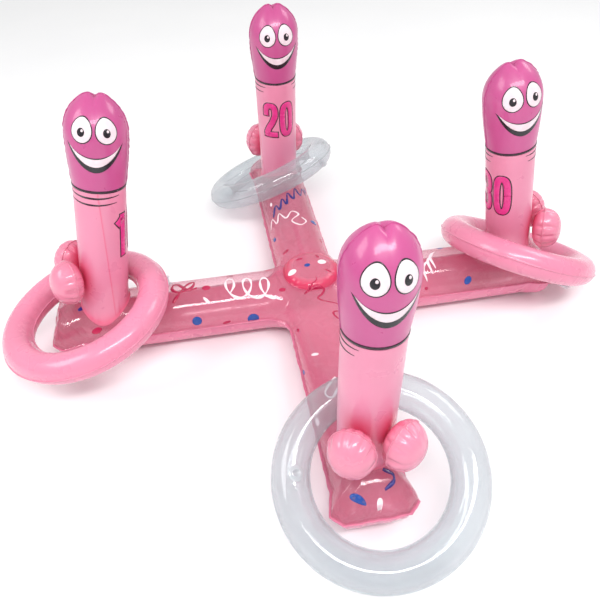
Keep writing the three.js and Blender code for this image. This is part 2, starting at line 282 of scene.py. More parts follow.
MATERIALS = {
    # The second colour of each vinyl, and the last colour of the dome film, is painted crevice shade.
    "shaft_vinyl": vinyl("shaft_vinyl", linear(219, 132, 161), linear(224, 40, 94), 0.32),
    "head_vinyl": vinyl("head_vinyl", linear(186, 72, 132), linear(172, 36, 104), 0.34),
    "lobe_vinyl": vinyl("lobe_vinyl", linear(221, 130, 156), linear(224, 42, 96), 0.24),
    "base_vinyl": vinyl("base_vinyl", linear(219, 120, 152), linear(204, 56, 98), 0.26),
    "pink_ring_vinyl": vinyl("pink_ring_vinyl", linear(223, 131, 160), linear(224, 56, 108), 0.27),
    "clear_film": clear_vinyl("clear_film", linear(254, 248, 250), linear(252, 196, 212), 0.10, 0.30, 0.06),
    "dome_film": clear_vinyl("dome_film", linear(253, 240, 244), linear(250, 186, 206), 0.24, 0.30, 0.07, linear(236, 60, 112)),
    "clear_ring_vinyl": clear_vinyl(
        "clear_ring_vinyl", linear(248, 250, 251), linear(228, 232, 234), 0.13, 0.34, 0.07),
    "valve_vinyl": clear_vinyl("valve_vinyl", linear(250, 252, 253), linear(244, 247, 249), 0.40, 0.40, 0.12),
    "plum_ink": ink("plum_ink", linear(38, 6, 28)),
    "dark_ink": ink("dark_ink", linear(14, 8, 20)),
    "magenta_ink": ink("magenta_ink", linear(212, 44, 128)),
    "white_ink": ink("white_ink", linear(226, 208, 214)),
    "blue_ink": ink("blue_ink", linear(16, 66, 148)),
    "violet_ink": ink("violet_ink", linear(44, 36, 120)),
    "crimson_ink": ink("crimson_ink", linear(176, 26, 74)),
    "chalk_ink": ink("chalk_ink", linear(252, 226, 232)),
}


# ---- mesh helpers -------------------------------------------------------------------------------------------
def add_object(name, vertices, faces, material, thickness=0.0, crevice_shade=None):
    """One smooth mesh object. A thickness makes a thin closed shell on the inner side of the faces."""
    mesh = bpy.data.meshes.new(name)
    mesh.from_pydata([tuple(vertex) for vertex in vertices], [], faces)
    mesh.validate()
    mesh.materials.append(MATERIALS[material])
    mesh.shade_smooth()
    # painted shade: a weight per point of how much crevice shade the colour takes
    if crevice_shade is not None:
        layer = mesh.attributes.new("crevice_shade", "FLOAT", "POINT")
        layer.data.foreach_set("value", np.array(crevice_shade, dtype=np.float32))
    obj = bpy.data.objects.new(name, mesh)
    bpy.context.scene.collection.objects.link(obj)
    if thickness:
        shell = obj.modifiers.new("thickness", "SOLIDIFY")
        shell.thickness = thickness
        shell.offset = -1
        shell.use_even_offset = False
    return obj


def grid(rows, closed=False, cap_last=None):
    """Vertices and faces of a grid of rows of points. closed joins each row's end to its start."""
    width = len(rows[0])
    vertices = [point for row in rows for point in row]
    faces = []
    for index in range(len(rows) - 1):
        for column in range(width if closed else width - 1):
            beside = (column + 1) % width
            faces.append((
                index * width + column, index * width + beside,
                (index + 1) * width + beside, (index + 1) * width + column,
            ))
    if cap_last is not None:
        vertices.append(cap_last)
        top = len(vertices) - 1
        start = (len(rows) - 1) * width
        for column in range(width if closed else width - 1):
            faces.append((start + column, start + (column + 1) % width, top))
    return vertices, faces


def place_piece(obj, body, slot, *nodes):
    """The piece rides on a body and stands for its CAD nodes. Its slot is not used."""
    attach(obj, body)
    if nodes:
        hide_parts(*nodes)
    return obj


def tree_of(*objects):
    """A search tree over the bare meshes of some objects."""
    vertices, faces = [], []
    for obj in objects:
        start = len(vertices)
        vertices += [obj.matrix_world @ vertex.co for vertex in obj.data.vertices]
        faces += [[start + index for index in polygon.vertices] for polygon in obj.data.polygons]
    return BVHTree.FromPolygons(vertices, faces)


def paint_shade_where_close(obj, tree, reach, strength=1.0):
    """Paints shade on the skin that lies close to its neighbours, deepening the vinyl's colour there."""
    layer = obj.data.attributes.get("crevice_shade") or obj.data.attributes.new("crevice_shade", "FLOAT", "POINT")
    values = np.zeros(len(obj.data.vertices), dtype=np.float32)
    layer.data.foreach_get("value", values)
    for index, vertex in enumerate(obj.data.vertices):
        found = tree.find_nearest(obj.matrix_world @ vertex.co, reach * 2.5)
        if found[3] is not None:
            values[index] = max(values[index], strength * math.exp(-((found[3] / reach) ** 1.4)))
    layer.data.foreach_set("value", values)


# ---- base ---------------------------------------------------------------------------------------------------
SEAM_HEIGHT = ARM_RADIUS
FLANGE = 3 * MM
FILLET_CENTRE = ARM_RADIUS + FILLET_RADIUS
END_REACH = POST_DISTANCE + FOOT_LENGTH
RIDGE_END = END_REACH - ARM_RADIUS
FOOT_FLARE = 7 * MM
CORNER_CUT = 13 * MM
FLOOR_CONTACT_ANGLE = 75
BASE_ROWS = 22


def half_arm_ribs():
    """Ribs of half an arm along +X: ridge end, seam end, crease depth and crease pitch."""
    ribs = []
    fillet_steps = 18
    for step in range(fillet_steps):
        angle = math.radians(45) * (1 - step / fillet_steps)
        ridge = (FILLET_CENTRE * (1 - math.tan(angle)), 0)
        edge = (FILLET_CENTRE - FILLET_RADIUS * math.sin(angle), FILLET_CENTRE - FILLET_RADIUS * math.cos(angle))
        ribs.append((ridge, edge, 1.3 * MM * math.cos(2 * (math.radians(45) - angle)) + 0.2 * MM, 9 * MM))
    straight_steps = 60
    for step in range(straight_steps):
        place = lerp(FILLET_CENTRE, RIDGE_END, step / straight_steps)
        depth = lerp(0.2 * MM, 1.1 * MM, smooth(0.80, 1.0, step / straight_steps))
        ribs.append(((place, 0), (place, ARM_RADIUS), depth, 11 * MM))
    corners = [
        (RIDGE_END, ARM_RADIUS),
        (END_REACH - CORNER_CUT, ARM_RADIUS + FOOT_FLARE),
        (END_REACH, ARM_RADIUS + FOOT_FLARE - CORNER_CUT),
        (END_REACH, 0),
    ]
    for (x0, y0), (x1, y1) in zip(corners, corners[1:]):
        steps = max(4, round(math.hypot(x1 - x0, y1 - y0) / (1.6 * MM)))
        for step in range(steps):
            share = step / steps
            ribs.append(((RIDGE_END, 0), (lerp(x0, x1, share), lerp(y0, y1, share)), 1.5 * MM, 8 * MM))
    return ribs


def cross_ribs():
    """Ribs right round the cross, anticlockwise from above, each with its distance along the seam."""
    half = half_arm_ribs()
    tip = ((RIDGE_END, 0), (END_REACH, 0), 1.5 * MM, 8 * MM)
    far_side = [(ridge, (edge[0], -edge[1]), depth, pitch) for ridge, edge, depth, pitch in half[1:]]
    arm = far_side + [tip] + half[::-1]
    ribs = []
    travelled = 0.0
    for turn in range(4):
        spin = Matrix.Rotation(turn * math.pi / 2, 2)
        for ridge, edge, depth, pitch in arm:
            inner, outer = spin @ Vector(ridge), spin @ Vector(edge)
            if ribs:
                travelled += (outer - ribs[-1][1]).length
            ribs.append((inner, outer, depth, pitch, travelled))
    return ribs


def base_skin(name, side, material):
    """The upper (side 1) or lower (side -1) sheet of the base, with the creases that its seam gathers."""
    rise = ARM_RADIUS - WELD_GAP / 2
    if side < 0:
        rise /= math.sin(math.radians(FLOOR_CONTACT_ANGLE))
    rows = [[] for _ in range(BASE_ROWS + 3)]
    for inner, outer, depth, pitch, travelled in cross_ribs():
        outward = (outer - inner).normalized()
        ragged = 0.55 * depth * waves(travelled / (13 * MM), 3)
        crease = depth * pleats(travelled, pitch, 5)
        seam = outer + outward * ragged
        flange = seam + outward * FLANGE * (1 + 0.25 * waves(travelled / (9 * MM), 8))
        level = SEAM_HEIGHT + side * WELD_GAP / 2
        rows[0].append((flange.x, flange.y, level + 0.3 * MM * waves(travelled / (17 * MM), 4)))
        rows[1].append((seam.x, seam.y, level))
        reach = (seam - inner).length
        for row in range(BASE_ROWS + 1):
            angle = math.radians(90) * ((row + 0.35) / (BASE_ROWS + 0.35))
            near_seam = math.exp(-angle * reach / (13 * MM))
            long_crease = 0.35 * math.exp(-angle * reach / (34 * MM))
            pull = crease * (near_seam + long_crease) * min(1.0, angle * reach / (2.5 * MM))
            place = inner + (seam - inner) * math.cos(angle) - outward * pull * math.cos(angle)
            height = rise * math.sin(angle) - pull * math.sin(angle)
            if side < 0:
                height = min(height, ARM_RADIUS - WELD_GAP / 2)
            rows[row + 2].append((place.x, place.y, level + side * height))
    vertices, faces = grid(rows, closed=True)
    if side < 0:
        faces = [face[::-1] for face in faces]
    skin = add_object(name, vertices, faces, material, 0)
    weld_ridge(skin)
    return skin


def weld_ridge(skin):
    """Joins the points that meet along the ridges, then gives the skin its thickness."""
    body = bmesh.new()
    body.from_mesh(skin.data)
    bmesh.ops.remove_doubles(body, verts=body.verts, dist=0.15 * MM)
    bmesh.ops.recalc_face_normals(body, faces=body.faces)
    outward = sum((face.normal * face.calc_area()).z for face in body.faces)
    upper = max(vertex.co.z for vertex in body.verts) > ARM_TOP * 0.9
    if (outward > 0) != upper:
        bmesh.ops.reverse_faces(body, faces=body.faces)
    body.to_mesh(skin.data)
    body.free()
    skin.data.shade_smooth()
    shell = skin.modifiers.new("thickness", "SOLIDIFY")
    shell.thickness = WALL / 2
    shell.offset = -1


base_top = base_skin("base_top_film", 1, "clear_film")
base_bottom = base_skin("base_bottom_skin", -1, "base_vinyl")


# ---- centre dome --------------------------------------------------------------------------------------------
DOME_RADIUS = 40 * MM
DOME_RISE = 13 * MM


def centre_dome():
    """The round window on the middle of the cross: a steep wall, a round shoulder and a crowned top."""
    around = 96
    profile = [(DOME_RADIUS + 2.2 * MM, 0.25 * MM), (DOME_RADIUS, 0.3 * MM)]
    for step in range(1, 20):
        angle = math.radians(90) * step / 20
        profile.append((
            DOME_RADIUS * math.cos(angle) ** 0.72,
            0.3 * MM + (DOME_RISE - 0.3 * MM) * math.sin(angle) ** 0.85,
        ))
    rows = []
    for radius, height in profile:
        row = []
        for index in range(around):
            angle = 2 * math.pi * index / around
            edge = smooth(0.35, 1.0, radius / DOME_RADIUS) * (1 if radius <= DOME_RADIUS else 0)
            crease = 0.9 * MM * edge * pleats(angle * DOME_RADIUS, 15 * MM, 21)
            reach = radius - crease
            row.append((reach * math.cos(angle), reach * math.sin(angle), ARM_TOP + height - crease * 0.4))
        rows.append(row)
    vertices, faces = grid(rows, closed=True, cap_last=(0, 0, ARM_TOP + DOME_RISE))
    # painted shade: the film's tint deepens and clouds towards the dome's rim
    rim = [smooth(0.62, 0.98, math.hypot(x, y) / DOME_RADIUS) for x, y, _ in vertices]
    return add_object("centre_dome_film", vertices, faces, "dome_film", WALL / 2, rim)


dome = centre_dome()


# ---- posts --------------------------------------------------------------------------------------------------
SHAFT_SEAM_WIDTH = 1.1 * MM
SEAM_TWIST = math.radians(26) / COLLAR_HEIGHT
SKIRT = 2.2 * MM
SHOULDER = POST_HEIGHT - DOME_HEIGHT


def post_frame(outward, distance, lean):
    foot = Vector((outward[0], outward[1], 0)) * distance + Vector((0, 0, ARM_TOP))
    return Matrix.Translation(foot) @ turn_to((lean[0], lean[1], 1))


def round_post(radius, angle, height):
    """A point of a post in its own frame, by its angle from -Y towards +X."""
    return Vector((radius * math.sin(angle), -radius * math.cos(angle), height))


def foot_height(frame_of_post, outward, radius, angle):
    """The height up the post's axis where a line of its skin meets the arm."""
    start = frame_of_post @ round_post(radius, angle, 0)
    climb = frame_of_post.to_3x3() @ Vector((0, 0, 1))
    across = Vector((-outward[1], outward[0], 0))
    up = Vector((0, 0, 1))
    side, rise = start.dot(across), start.z - ARM_RADIUS
    side_climb, rise_climb = climb.dot(across), climb.dot(up)
    a = side_climb ** 2 + rise_climb ** 2
    b = 2 * (side * side_climb + rise * rise_climb)
    c = side ** 2 + rise ** 2 - (ARM_RADIUS + WELD_GAP) ** 2
    return (-b + math.sqrt(max(b * b - 4 * a * c, 0))) / (2 * a)


def shaft_skin(name, frame_of_post, outward, seed):
    """The tube of a post, from its weld skirt on the arm to the collar, with one weld up its side."""
    around, up_steps = 180, 60
    seam = math.atan2(outward[0], -outward[1]) + math.radians(90)
    rows = [[] for _ in range(up_steps + 2)]
    for index in range(around):
        angle = seam + 2 * math.pi * index / around
        foot_angle = angle + SEAM_TWIST * COLLAR_HEIGHT
        foot = foot_height(frame_of_post, outward, SHAFT_FOOT_RADIUS, foot_angle)
        skirt_foot = foot_height(frame_of_post, outward, SHAFT_FOOT_RADIUS + SKIRT, foot_angle)
        off_seam = min(index, around - index) / around * 2 * math.pi * SHAFT_FOOT_RADIUS
        rows[0].append(frame_of_post @ round_post(SHAFT_FOOT_RADIUS + SKIRT, foot_angle, skirt_foot + 0.25 * MM))
        top = COLLAR_HEIGHT - WELD_GAP / 2
        for step in range(up_steps + 1):
            share = (step / up_steps) ** 1.7
            height = lerp(foot + 0.5 * MM, top, share)
            above = height - foot
            radius = lerp(SHAFT_FOOT_RADIUS, COLLAR_RADIUS, height / COLLAR_HEIGHT)
            radius -= 1.5 * MM * pleats(angle * SHAFT_FOOT_RADIUS, 12 * MM, seed) * math.exp(-above / (9 * MM))
            radius += 0.45 * MM * bump_of(off_seam, SHAFT_SEAM_WIDTH)
            radius += 0.35 * MM * noise.noise(Vector((math.cos(angle) * 1.3, math.sin(angle) * 1.3, height * 22 + seed)))
            radius += 0.9 * MM * math.exp(-above / (2.2 * MM))
            twist = SEAM_TWIST * (COLLAR_HEIGHT - height)
            rows[step + 1].append(frame_of_post @ round_post(radius, angle + twist, height))
    vertices, faces = grid(rows, closed=True)
    # painted shade: a darker line along the weld up the shaft
    seam_shade = [0.45 * bump_of(min(index % around, around - index % around), 0.8) for index in range(len(vertices))]
    return add_object(name + "_shaft_skin", vertices, faces, "shaft_vinyl", WALL, seam_shade)


def head_radius(height):
    """The head's radius at a height below its shoulder."""
    share = (height - COLLAR_HEIGHT) / (SHOULDER - COLLAR_HEIGHT)
    return lerp(COLLAR_RADIUS, HEAD_RADIUS, math.sin(min(max(share, 0), 1) * math.pi / 2))


def head_point(angle, share, seed):
    """A point of the head's skin: share runs from the collar at 0, through the shoulder at 0.5, to the apex at 1."""
    if share <= 0.5:
        height = lerp(COLLAR_HEIGHT + WELD_GAP / 2, SHOULDER, share * 2)
        radius, tilt = head_radius(height), 0.0
    else:
        tilt = (share - 0.5) * math.pi
        height = SHOULDER + DOME_HEIGHT * math.sin(tilt)
        radius = HEAD_RADIUS * math.cos(tilt)
    point = round_post(radius, angle, height)
    crown = smooth(0.62, 0.98, math.sin(tilt))
    notch = max(0.0, 1 - abs(point.x) / (6 * MM)) ** 1.4 * (0.12 + 0.88 * bump_of(point.y, 11 * MM))
    peaks = bump_of(abs(point.x) - 11 * MM, 8 * MM) * bump_of(point.y, 16 * MM)
    point.z += crown * (1.6 * MM * peaks - 4.6 * MM * notch)
    point.y *= 1 - 0.30 * math.sin(tilt) ** 2
    around_seam = (math.pi / 2 - abs(abs((angle + math.pi) % (2 * math.pi) - math.pi) - math.pi / 2))
    off_seam = (math.pi / 2 - around_seam) * radius
    gather = pleats(height, 8 * MM, seed + (3 if angle > 0 else 9)) * bump_of(off_seam, 7 * MM)
    pull = 0.9 * MM * gather * smooth(0.05, 0.4, share)
    front_line = 0.25 * MM * bump_of(abs(math.sin(angle)) * radius, 1.5 * MM) * smooth(0.2, 0.8, share)
    outward = Vector((point.x, point.y, 0)).normalized() if radius > 1 * MM else Vector((0, 0, 0))
    return point - outward * (pull + front_line)


def head_sheet(name, frame_of_post, side, seed):
    """Half of a head, side -1 facing -Y and side 1 facing +Y, with a narrow welded fin along its edge."""
    across, up_steps = 72, 64
    middle = 0 if side < 0 else math.pi
    fin = 0.9 * MM
    rows = []
    for step in range(up_steps):
        share = step / up_steps
        row = []
        for column in range(across + 1):
            spread = math.radians(90) * (2 * column / across - 1)
            inset = math.radians(0.4)
            angle = middle + min(max(spread, -math.pi / 2 + inset), math.pi / 2 - inset)
            row.append(head_point(angle, share, seed))
        for end in (0, across):
            edge = row[end].copy()
            outward = Vector((math.copysign(1, edge.x), 0, 0)) if share < 0.5 else Vector((edge.x, 0, edge.z - SHOULDER))
            edge += outward.normalized() * fin * (1 + 0.4 * waves(edge.z / (6 * MM), seed))
            edge.y = side * WELD_GAP / 2
            row.insert(0, edge) if end == 0 else row.append(edge)
        rows.append([frame_of_post @ point for point in row])
    apex = frame_of_post @ (head_point(middle, 0.9999, seed) + Vector((0, side * WELD_GAP / 2, 0)))
    vertices, faces = grid(rows, cap_last=apex)
    word = "front" if side < 0 else "back"
    return add_object(f"{name}_head_{word}_skin", vertices, faces, "head_vinyl", WALL)


def collar_line(name, frame_of_post):
    """The dark printed line where the head meets the shaft, as a thin band over both."""
    around = 144
    rows = []
    for height, proud in ((-1.7, 0.0), (-1.5, 0.35), (0, 0.4), (1.5, 0.35), (1.7, 0.0)):
        radius = COLLAR_RADIUS + (0.25 + proud) * MM
        level = COLLAR_HEIGHT + height * MM
        rows.append([
            frame_of_post @ round_post(radius, 2 * math.pi * index / around, level) for index in range(around)
        ])
    vertices, faces = grid(rows, closed=True)
    return add_object(name + "_collar_line", vertices, faces, "plum_ink", 0.2 * MM)


# ---- lobes --------------------------------------------------------------------------------------------------
LOBE = dict(half_width=26 * MM, half_height=31 * MM, outer=24 * MM, inner=16 * MM, reach=51 * MM)
LOBE_SPREAD = math.radians(32)


def lobe_sheet(name, place, depth, side, seed):
    """One round sheet of a lobe, gathered into pleats at its weld, with a scalloped fin."""
    around, up_steps = 120, 26
    rows = [[] for _ in range(up_steps + 1)]
    girth = 2 * math.pi * 0.5 * (LOBE["half_width"] + LOBE["half_height"])
    for index in range(around):
        angle = 2 * math.pi * index / around
        wave = pleats(angle / (2 * math.pi) * girth, girth / 12, seed)
        rim = 1 - 0.05 * wave
        fin = rim + 0.05
        width, height = LOBE["half_width"], LOBE["half_height"]
        rows[0].append((fin * width * math.cos(angle), fin * height * math.sin(angle), side * 0.1 * MM))
        for step in range(up_steps):
            share = step / up_steps
            tilt = math.radians(90) * share
            radius = rim * math.cos(tilt) ** 0.9
            crease = 4.4 * MM * wave * math.sin(math.pi * min(share * 2.2, 1)) * (1 - share) ** 2
            rise = (WELD_GAP / 2 + (depth - WELD_GAP / 2) * math.sin(tilt) ** 0.92) - crease
            radius -= crease / LOBE["half_height"] * 0.8
            rows[step + 1].append((
                radius * width * math.cos(angle), radius * height * math.sin(angle), side * max(rise, 0.15 * MM),
            ))
    vertices, faces = grid(rows, closed=True, cap_last=(0, 0, side * depth))
    if side < 0:
        faces = [face[::-1] for face in faces]
    vertices = [place @ Vector(vertex) for vertex in vertices]
    return add_object(name, vertices, faces, "lobe_vinyl", WALL)


def lobe_place(frame_of_post, outward, height, turn):
    """The frame of a lobe's weld: its +Z faces away from the post and its +Y runs up."""
    azimuth = math.atan2(outward[1], outward[0]) + turn * LOBE_SPREAD
    facing = Vector((math.cos(azimuth), math.sin(azimuth), 0))
    aside = Vector((0, 0, 1)).cross(facing)
    middle = facing * LOBE["reach"] + Vector((0, 0, height))
    axes = Matrix((aside, (0, 0, 1), facing)).transposed().to_4x4()
    return frame_of_post @ Matrix.Translation(middle) @ axes


# ---- rings --------------------------------------------------------------------------------------------------
def ring_sheet(name, place, side, material, seed):
    """The upper or lower half of a ring's tube, with its welded fins and the creases of its inner seam."""
    around, tube_steps = 200, 26
    rows = [[] for _ in range(tube_steps + 3)]
    for index in range(around):
        angle = 2 * math.pi * index / around
        inner_crease = pleats(angle * RING_RADIUS, 17 * MM, seed)
        outer_crease = pleats(angle * (RING_RADIUS + RING_TUBE), 31 * MM, seed + 5)
        swell = 1 + 0.012 * noise.noise(Vector((math.cos(angle) * 1.7, math.sin(angle) * 1.7, seed)))
        for row in range(tube_steps + 3):
            if row in (0, tube_steps + 2):
                sign = 1 if row == 0 else -1
                tube = RING_TUBE * swell + 1.3 * MM
                radius, height = RING_RADIUS + sign * tube, 0.12 * MM
            else:
                tilt = math.pi * (row - 1) / tube_steps
                to_inner = math.exp(-(math.pi - tilt) / 0.42)
                to_outer = math.exp(-tilt / 0.25)
                shut = min(1.0, tilt / 0.08, (math.pi - tilt) / 0.08)
                pull = (1.7 * MM * inner_crease * to_inner + 0.5 * MM * outer_crease * to_outer) * shut
                tube = RING_TUBE * swell - pull
                radius = RING_RADIUS + tube * math.cos(tilt)
                height = max(WELD_GAP / 2, tube * math.sin(tilt))
            rows[row].append(place @ Vector((radius * math.cos(angle), radius * math.sin(angle), side * height)))
    vertices, faces = grid(rows, closed=True)
    if side < 0:
        faces = [face[::-1] for face in faces]
    return add_object(name, vertices, faces, material, WALL)


# ---- valves -------------------------------------------------------------------------------------------------
VALVE = dict(boot=9 * MM, boot_height=0.8 * MM, hole=5.4 * MM, stem=5 * MM, bore=3.2 * MM, length=14 * MM,
             pin=5 * MM, cap=6 * MM, cap_height=1.2 * MM)


def lathe_piece(name, profile, place, material):
    """A turned piece about a frame's +Z from a closed or axis-to-axis profile of (radius, height)."""
    around = 48
    inner_ends = profile[0][0] == 0 and profile[-1][0] == 0
    ring_profile = profile[1:-1] if inner_ends else profile
    rows = [[
        place @ Vector((radius * math.cos(2 * math.pi * index / around),
                        radius * math.sin(2 * math.pi * index / around), height))
        for index in range(around)] for radius, height in ring_profile]
    if not inner_ends:
        rows.append(rows[0])
    cap = place @ Vector((0, 0, profile[-1][1])) if inner_ends else None
    vertices, faces = grid(rows, closed=True, cap_last=cap)
    if inner_ends:
        vertices.append(place @ Vector((0, 0, profile[0][1])))
        faces += [((index + 1) % around, index, len(vertices) - 1) for index in range(around)]
    piece = add_object(name, vertices, faces, material)
    body = bmesh.new()
    body.from_mesh(piece.data)
    bmesh.ops.remove_doubles(body, verts=body.verts, dist=0.01 * MM)
    bmesh.ops.recalc_face_normals(body, faces=body.faces)
    body.to_mesh(piece.data)
    body.free()
    piece.data.shade_smooth()
    return piece


def valve(name, place, standing, bodies):
    """A valve's welded boot, its stem with two grip beads, and its plug with a domed rim."""
    low, high = WELD_GAP, WELD_GAP + VALVE["boot_height"]
    boot = lathe_piece(name + "_valve_boot_piece", [
        (VALVE["hole"], low), (VALVE["boot"] * 0.98, low), (VALVE["boot"], low + 0.3 * MM),
        (VALVE["boot"] * 0.95, high - 0.2 * MM), (VALVE["boot"] * 0.82, high - 0.3 * MM),
        (VALVE["boot"] * 0.72, high), (VALVE["hole"] + 0.3 * MM, high), (VALVE["hole"], high - 0.2 * MM),
    ], place, "valve_vinyl")
    place_piece(boot, bodies[0], "valve_vinyl", name + "_valve_boot")
    top = high + standing
    bottom = top - VALVE["length"]
    outside = [(VALVE["stem"] - 0.3 * MM, bottom)]
    for step in range(25):
        height = lerp(bottom + 0.4 * MM, top - 0.5 * MM, step / 24)
        bead = 0.3 * MM * (bump_of(height - top + 3 * MM, 0.6 * MM) + bump_of(height - top + 6 * MM, 0.6 * MM))
        outside.append((VALVE["stem"] - 0.3 * MM + bead, height))
    outside += [(VALVE["stem"], top - 0.3 * MM), (VALVE["stem"] - 0.3 * MM, top)]
    inside = [(VALVE["bore"] + 0.3 * MM, top), (VALVE["bore"], top - 0.4 * MM), (VALVE["bore"], bottom)]
    stem = lathe_piece(name + "_valve_stem_piece", outside + inside, place, "valve_vinyl")
    place_piece(stem, bodies[1], "valve_vinyl", name + "_valve_stem")
    cap_low = top + WELD_GAP
    cap_high = cap_low + VALVE["cap_height"]
    pin = VALVE["bore"] - WELD_GAP
    plug = lathe_piece(name + "_valve_plug_piece", [
        (0, cap_low - VALVE["pin"]), (pin - 0.5 * MM, cap_low - VALVE["pin"]), (pin, cap_low - VALVE["pin"] + 0.6 * MM),
        (pin, cap_low), (VALVE["cap"] - 0.3 * MM, cap_low), (VALVE["cap"], cap_low + 0.3 * MM),
        (VALVE["cap"], cap_high - 0.3 * MM), (VALVE["cap"] - 0.4 * MM, cap_high),
        (VALVE["cap"] * 0.62, cap_high), (VALVE["cap"] * 0.55, cap_high - 0.3 * MM), (0, cap_high - 0.25 * MM),
    ], place, "valve_vinyl")
    place_piece(plug, bodies[2], "valve_vinyl", name + "_valve_plug")


# ---- assembly -----------------------------------------------------------------------------------------------
place_piece(base_top, BASE_BODY, "clear_film", "base_top_sheet")
place_piece(base_bottom, BASE_BODY, "base_vinyl", "base_bottom_sheet")
place_piece(dome, BASE_BODY, "clear_film", "centre_dome")

posts = {}
for seed, (name, (outward, distance, lean, lobe_height, number, number_angle)) in enumerate(POSTS.items(), 1):
    own_frame = post_frame(outward, distance, lean)
    shaft = shaft_skin(name, own_frame, outward, seed)
    heads = [head_sheet(name, own_frame, side, seed) for side in (-1, 1)]
    place_piece(shaft, BASE_BODY, "shaft_vinyl", name + "_shaft")
    place_piece(heads[0], BASE_BODY, "head_vinyl", name + "_head_front_sheet")
    place_piece(heads[1], BASE_BODY, "head_vinyl", name + "_head_back_sheet")
    place_piece(collar_line(name, own_frame), BASE_BODY, None)
    lobes = []
    for word, turn in (("left", -1), ("right", 1)):
        pouch = lobe_place(own_frame, outward, lobe_height, turn)
        lobe_seed = seed * 4 + turn
        outer = lobe_sheet(f"{name}_{word}_lobe_outer_skin", pouch, LOBE["outer"], 1, lobe_seed)
        inner = lobe_sheet(f"{name}_{word}_lobe_inner_skin", pouch, LOBE["inner"], -1, lobe_seed)
        place_piece(outer, BASE_BODY, "lobe_vinyl", f"{name}_{word}_lobe_outer_sheet")
        place_piece(inner, BASE_BODY, "lobe_vinyl", f"{name}_{word}_lobe_inner_sheet")
        lobes += [outer, inner]
    shaft_tree, lobe_tree, base_tree = tree_of(shaft), tree_of(*lobes), tree_of(base_top)
    # painted shade where the shaft, the lobes and the base lie close together
    paint_shade_where_close(shaft, lobe_tree, 9 * MM)
    paint_shade_where_close(shaft, base_tree, 5 * MM, 0.5)
    for lobe in lobes:
        paint_shade_where_close(lobe, shaft_tree, 11 * MM)
        paint_shade_where_close(lobe, base_tree, 5 * MM, 0.5)
    posts[name] = dict(frame=own_frame, skin=tree_of(shaft, *heads), number=number, number_angle=number_angle)

rings = {}
for seed, (name, (middle, facing, slot, valve_round, valve_tube)) in enumerate(RINGS.items(), 31):
    place = Matrix.Translation(Vector(middle) * MM) @ turn_to(facing)
    upper = ring_sheet(name + "_upper_skin", place, 1, slot, seed)
    lower = ring_sheet(name + "_lower_skin", place, -1, slot, seed)
    place_piece(upper, name, slot, name + "_upper_sheet")
    place_piece(lower, name, slot, name + "_lower_sheet")
    rings[name] = (upper, lower)
    radial = Vector((math.cos(math.radians(valve_round)), math.sin(math.radians(valve_round)), 0))
    tilt = math.radians(valve_tube)
    direction = radial * math.cos(tilt) + Vector((0, 0, math.sin(tilt)))
    spot = radial * RING_RADIUS + direction * (RING_TUBE + WELD_GAP)
    valve_place = place @ Matrix.Translation(spot) @ turn_to(direction)
    valve(name, valve_place, 0.4 * MM, (name, name + "_valve_stem", name + "_valve_plug"))

BASE_VALVE_ANGLE = math.radians(25)
valve_direction = Vector((0, math.sin(BASE_VALVE_ANGLE), math.cos(BASE_VALVE_ANGLE)))
valve_spot = Vector((-0.69 * POST_DISTANCE, 0, ARM_RADIUS)) + valve_direction * ARM_RADIUS
valve("base", Matrix.Translation(valve_spot) @ turn_to(valve_direction), 9 * MM,
      (BASE_BODY, "base_valve_stem", "base_valve_plug"))


# ---- prints -------------------------------------------------------------------------------------------------
LIFT = 0.22 * MM


def flat_mesh(loops, cell):
    """Triangles of a flat outline with holes, cut along a grid so that they can bend."""
    curve = bpy.data.curves.new("outline", "CURVE")
    curve.dimensions = "2D"
    curve.fill_mode = "BOTH"
    for loop in loops:
        spline = curve.splines.new("POLY")
        spline.points.add(len(loop) - 1)
        for point, (x, y) in zip(spline.points, loop):
            point.co = (x, y, 0, 1)
        spline.use_cyclic_u = True
    carrier = bpy.data.objects.new("outline", curve)
    flat = bmesh.new()
    flat.from_mesh(bpy.data.meshes.new_from_object(carrier))
    bpy.data.objects.remove(carrier)
    return sliced(flat, cell)


def sliced(flat, cell):
    """Cuts a flat mesh along grid lines a cell apart."""
    for axis in (0, 1):
        spread = [vertex.co[axis] for vertex in flat.verts]
        normal = Vector((1, 0, 0)) if axis == 0 else Vector((0, 1, 0))
        for line in range(math.ceil(min(spread) / cell), math.floor(max(spread) / cell) + 1):
            bmesh.ops.bisect_plane(
                flat, geom=flat.verts[:] + flat.edges[:] + flat.faces[:], plane_co=normal * line * cell, plane_no=normal)
    bmesh.ops.remove_doubles(flat, verts=flat.verts, dist=0.01 * MM)
    return flat


def ribbon(points, widths):
    """A flat strip along a path of (x, y) points."""
    flat = bmesh.new()
    previous = None
    for index, (point, width) in enumerate(zip(points, widths)):
        before, after = Vector(points[max(index - 1, 0)]), Vector(points[min(index + 1, len(points) - 1)])
        along = (after - before).normalized()
        aside = Vector((-along.y, along.x)) * max(width, 0.1 * MM) / 2
        pair = [flat.verts.new((*(Vector(point) + aside * sign), 0)) for sign in (1, -1)]
        if previous:
            flat.faces.new((previous[0], previous[1], pair[1], pair[0]))
        previous = pair
    return flat


def smooth_path(points, steps=10):
    """Catmull-Rom points through a few given ones."""
    given = [Vector(point) for point in points]
    given = [given[0] * 2 - given[1]] + given + [given[-1] * 2 - given[-2]]
    path = []
    for p0, p1, p2, p3 in zip(given, given[1:], given[2:], given[3:]):
        for step in range(steps):
            t = step / steps
            path.append(0.5 * (2 * p1 + (p2 - p0) * t + (2 * p0 - 5 * p1 + 4 * p2 - p3) * t * t
                               + (3 * p1 - p0 - 3 * p2 + p3) * t * t * t))
    return path + [given[-2]]


def brush(points, width):
    """A stroke that is thick in its middle and thin at both ends."""
    path = smooth_path(points)
    return ribbon(path, [width * (0.25 + 0.75 * math.sin(math.pi * index / (len(path) - 1))) for index in range(len(path))])


